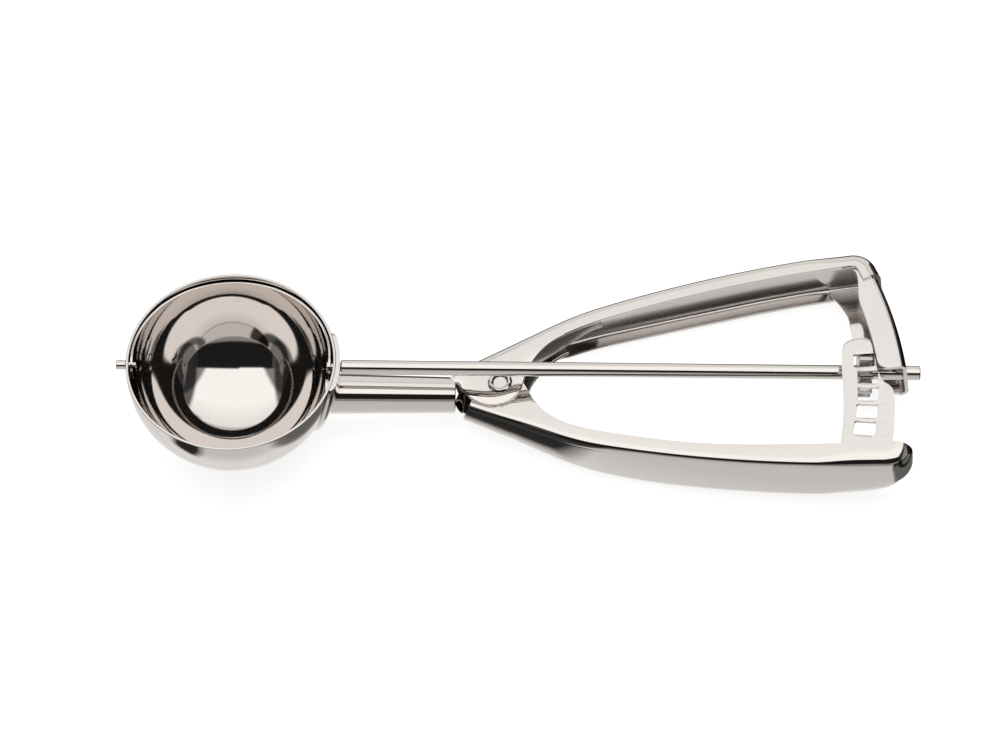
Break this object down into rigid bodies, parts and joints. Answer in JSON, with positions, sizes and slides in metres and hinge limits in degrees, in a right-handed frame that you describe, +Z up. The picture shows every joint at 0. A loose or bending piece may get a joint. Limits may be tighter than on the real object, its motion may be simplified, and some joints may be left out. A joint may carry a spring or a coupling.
{
  "type": "lever ice cream scoop",
  "caption": "Squeeze-handle ice cream scoop: a slotted rack on the sprung handle turns a pinion and rod that sweep a thin scraper round the inside of a round bowl.",
  "frame": {"origin": "centre of the bowl's mouth, in the plane of the rim", "axes": "+X along the rod from the bowl to the handles' end, +Y to the fixed handle, +Z up out of the bowl's mouth"},
  "size_m": [0.2209, 0.0706, 0.0389],
  "materials": {
    "polished_steel": "mirror-polished stainless steel",
    "turned_steel": "polished turned steel",
    "pressed_steel": "polished pressed sheet steel with soft edges",
    "cut_steel": "machined steel, fine tool marks",
    "spring_steel": "rolled spring strip, satin"
  },
  "bodies": {
    "frame": {"bowl": "polished_steel", "frame_handle": "polished_steel", "end_bracket": "pressed_steel", "pivot_rivet": "turned_steel", "pivot_sleeve": "cut_steel", "leaf_spring": "spring_steel"},
    "moving_handle": {"squeeze_handle": "polished_steel", "rack": "pressed_steel"},
    "rotor": {"drive_rod": "turned_steel", "pinion": "cut_steel", "scraper_blade": "polished_steel", "far_pin": "turned_steel"}
  },
  "joints": [
    {"name": "handle_squeeze", "type": "hinge", "parent": "frame", "child": "moving_handle", "pos_m": [0.0738, 0, -0.0096], "axis": [-0.1547, 0, 0.988], "range_deg": [0, 11.2], "stiffness_Nm_per_rad": 4, "springref_deg": -14.32, "deforming": ["leaf_spring"]},
    {"name": "scraper_spin", "type": "hinge", "parent": "frame", "child": "rotor", "pos_m": [0, 0, -0.0028], "axis": [1, 0, 0], "range_deg": [-163, 0]}
  ],
  "couplings": [
    {"joint": "scraper_spin", "follows": "handle_squeeze", "ratio": -14.518}
  ]
}
